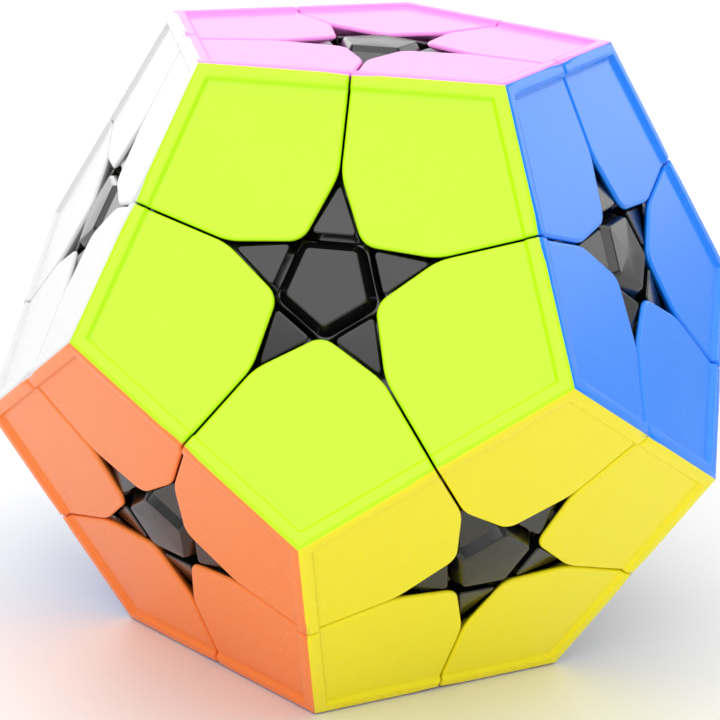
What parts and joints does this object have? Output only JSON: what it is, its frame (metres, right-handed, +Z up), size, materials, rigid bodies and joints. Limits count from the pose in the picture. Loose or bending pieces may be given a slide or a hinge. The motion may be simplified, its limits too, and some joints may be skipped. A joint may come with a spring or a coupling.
{
  "type": "dodecahedron twisty puzzle",
  "caption": "Twelve-sided twisty puzzle of coloured corner pieces round black star-shaped centres, with three of its layers turning on spring-loaded screws.",
  "frame": {"origin": "middle of the purple face that the puzzle stands on", "axes": "+Z up through the pink face, -Y towards the green face"},
  "size_m": [0.0786, 0.0826, 0.0668],
  "materials": {
    "pink_plastic": "moulded, semi-gloss",
    "green_plastic": "moulded, semi-gloss",
    "light_blue_plastic": "moulded, semi-gloss",
    "red_plastic": "moulded, semi-gloss",
    "cream_plastic": "moulded, semi-gloss",
    "white_plastic": "moulded, semi-gloss",
    "yellow_plastic": "moulded, semi-gloss",
    "grey_plastic": "moulded, semi-gloss",
    "dark_green_plastic": "moulded, semi-gloss",
    "dark_blue_plastic": "moulded, semi-gloss",
    "orange_plastic": "moulded, semi-gloss",
    "purple_plastic": "moulded, semi-gloss",
    "black_plastic": "moulded, glossy",
    "core_plastic": "moulded, satin",
    "steel": "zinc plated"
  },
  "bodies": {
    "puzzle": {"core": "core_plastic", "centre_pink": "black_plastic", "screw_green": "steel", "spring_green": "steel", "centre_light_blue": "black_plastic", "centre_red": "black_plastic", "centre_cream": "black_plastic", "centre_white": "black_plastic", "centre_yellow": "black_plastic", "screw_grey": "steel", "spring_grey": "steel", "centre_dark_green": "black_plastic", "screw_dark_blue": "steel", "spring_dark_blue": "steel", "centre_orange": "black_plastic", "centre_purple": "black_plastic", "edge_light_blue_yellow": "black_plastic", "edge_white_orange": "black_plastic", "edge_dark_green_purple": "black_plastic", "corner_pink_light_blue_red": "pink_plastic", "corner_pink_red_cream": "pink_plastic", "corner_pink_cream_white": "pink_plastic", "corner_red_dark_green_cream": "red_plastic", "corner_yellow_orange_purple": "yellow_plastic"},
    "green_layer": {"centre_green": "black_plastic", "cap_green": "black_plastic", "edge_pink_green": "black_plastic", "edge_green_light_blue": "black_plastic", "edge_green_white": "black_plastic", "edge_green_yellow": "black_plastic", "edge_green_orange": "black_plastic", "corner_pink_green_light_blue": "pink_plastic", "corner_pink_white_green": "pink_plastic", "corner_green_yellow_light_blue": "green_plastic", "corner_green_white_orange": "green_plastic", "corner_green_orange_yellow": "green_plastic"},
    "grey_layer": {"centre_grey": "black_plastic", "cap_grey": "black_plastic", "edge_light_blue_grey": "black_plastic", "edge_red_grey": "black_plastic", "edge_yellow_grey": "black_plastic", "edge_grey_dark_green": "black_plastic", "edge_grey_purple": "black_plastic", "corner_light_blue_grey_red": "light_blue_plastic", "corner_light_blue_yellow_grey": "light_blue_plastic", "corner_red_grey_dark_green": "red_plastic", "corner_yellow_purple_grey": "yellow_plastic", "corner_grey_purple_dark_green": "grey_plastic"},
    "dark_blue_layer": {"centre_dark_blue": "black_plastic", "cap_dark_blue": "black_plastic", "edge_cream_dark_blue": "black_plastic", "edge_white_dark_blue": "black_plastic", "edge_dark_green_dark_blue": "black_plastic", "edge_dark_blue_orange": "black_plastic", "edge_dark_blue_purple": "black_plastic", "corner_cream_dark_blue_white": "cream_plastic", "corner_cream_dark_green_dark_blue": "cream_plastic", "corner_white_dark_blue_orange": "white_plastic", "corner_dark_green_purple_dark_blue": "dark_green_plastic", "corner_dark_blue_purple_orange": "dark_blue_plastic"}
  },
  "joints": [
    {"name": "green_turn", "type": "hinge", "parent": "puzzle", "child": "green_layer", "pos_m": [0, 0, 0.03341], "axis": [0, -0.8944, 0.4472], "continuous": true},
    {"name": "grey_turn", "type": "hinge", "parent": "puzzle", "child": "grey_layer", "pos_m": [0, 0, 0.03341], "axis": [0.8507, 0.2764, -0.4472], "continuous": true},
    {"name": "dark_blue_turn", "type": "hinge", "parent": "puzzle", "child": "dark_blue_layer", "pos_m": [0, 0, 0.03341], "axis": [-0.8507, 0.2764, -0.4472], "continuous": true}
  ]
}
